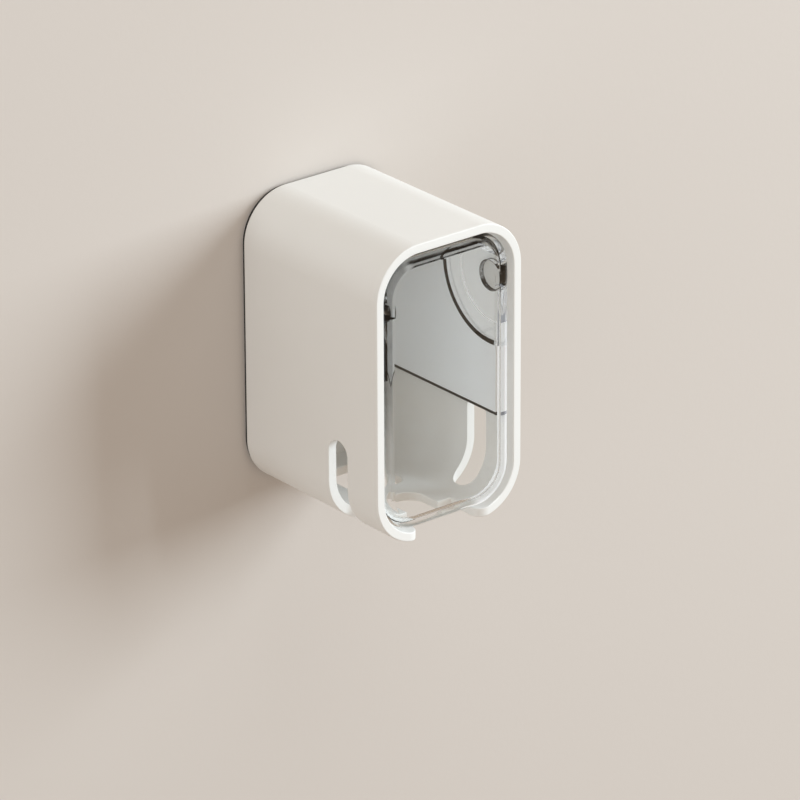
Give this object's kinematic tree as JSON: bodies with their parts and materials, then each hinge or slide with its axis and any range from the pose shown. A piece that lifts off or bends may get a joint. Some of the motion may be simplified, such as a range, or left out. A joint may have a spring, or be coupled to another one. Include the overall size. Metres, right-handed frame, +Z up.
{
  "type": "wall-mounted toothbrush holder",
  "caption": "Rounded box that sticks to a wall and hangs a brush by its neck from a notch in its floor, with slotted sides and a clear flap on side pivots that closes by its own weight.",
  "frame": {"origin": "centre of the adhesive pad's face on the wall", "axes": "+X to the right seen from the front, +Y into the wall, +Z up"},
  "size_m": [0.035, 0.0408, 0.06],
  "materials": {
    "white_shell": "satin white moulding",
    "grey_bracket": "matte pale grey moulding",
    "clear_flap": "polished clear moulding",
    "pin_plastic": "smooth pale acetal",
    "screw_steel": "bright zinc plated",
    "pad_foam": "dark acrylic foam tape"
  },
  "bodies": {
    "shell": {"housing": "white_shell", "inner_bracket": "grey_bracket", "left_hinge_pin": "pin_plastic", "right_hinge_pin": "pin_plastic", "bracket_screws": "screw_steel", "wall_pad": "pad_foam"},
    "flap": {"clear_door": "clear_flap"}
  },
  "joints": [
    {"name": "flap_hinge", "type": "hinge", "parent": "shell", "child": "flap", "pos_m": [0, -0.0361, 0.0173], "axis": [-1, 0, 0], "range_deg": [0, 105]}
  ]
}
